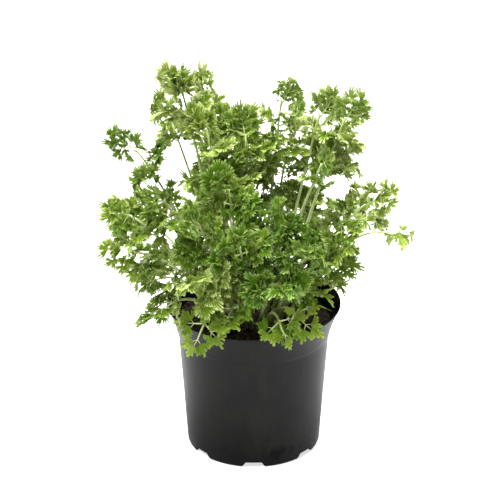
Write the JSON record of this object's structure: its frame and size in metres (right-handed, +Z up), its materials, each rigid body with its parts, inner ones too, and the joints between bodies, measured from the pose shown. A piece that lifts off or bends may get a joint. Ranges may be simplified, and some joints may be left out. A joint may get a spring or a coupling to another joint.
{
  "type": "potted parsley",
  "caption": "Curly-leaved parsley growing from soil in a thin black flared nursery pot with a notched base.",
  "frame": {"origin": "on the ground, on the pot's axis, at the middle of the plant's width and depth", "axes": "+Z up, -Y towards the viewer, +X to the viewer's right"},
  "size_m": [0.2379, 0.2006, 0.3058],
  "materials": {
    "pot": "satin black moulded polypropylene",
    "soil": "moist peat-based potting soil, rough",
    "leaf": "soft, slightly waxy green leaf on paler green stalks"
  },
  "bodies": {
    "root": {"pot": "pot", "soil": "soil", "frond_01": "leaf", "frond_02": "leaf", "frond_03": "leaf", "frond_04": "leaf", "frond_05": "leaf", "frond_06": "leaf", "frond_07": "leaf", "frond_08": "leaf", "frond_09": "leaf", "frond_10": "leaf", "frond_11": "leaf", "frond_12": "leaf", "frond_13": "leaf", "frond_14": "leaf", "frond_15": "leaf", "frond_16": "leaf", "frond_17": "leaf", "frond_18": "leaf", "frond_19": "leaf", "frond_20": "leaf", "frond_21": "leaf", "frond_22": "leaf", "frond_23": "leaf", "frond_24": "leaf", "frond_25": "leaf", "frond_26": "leaf", "frond_27": "leaf", "frond_28": "leaf", "frond_29": "leaf", "frond_30": "leaf", "frond_31": "leaf", "frond_32": "leaf", "frond_33": "leaf", "frond_34": "leaf", "frond_35": "leaf", "frond_36": "leaf", "frond_37": "leaf", "frond_38": "leaf", "frond_39": "leaf", "frond_40": "leaf", "frond_41": "leaf", "frond_42": "leaf", "frond_43": "leaf", "frond_44": "leaf", "frond_45": "leaf"}
  },
  "joints": []
}
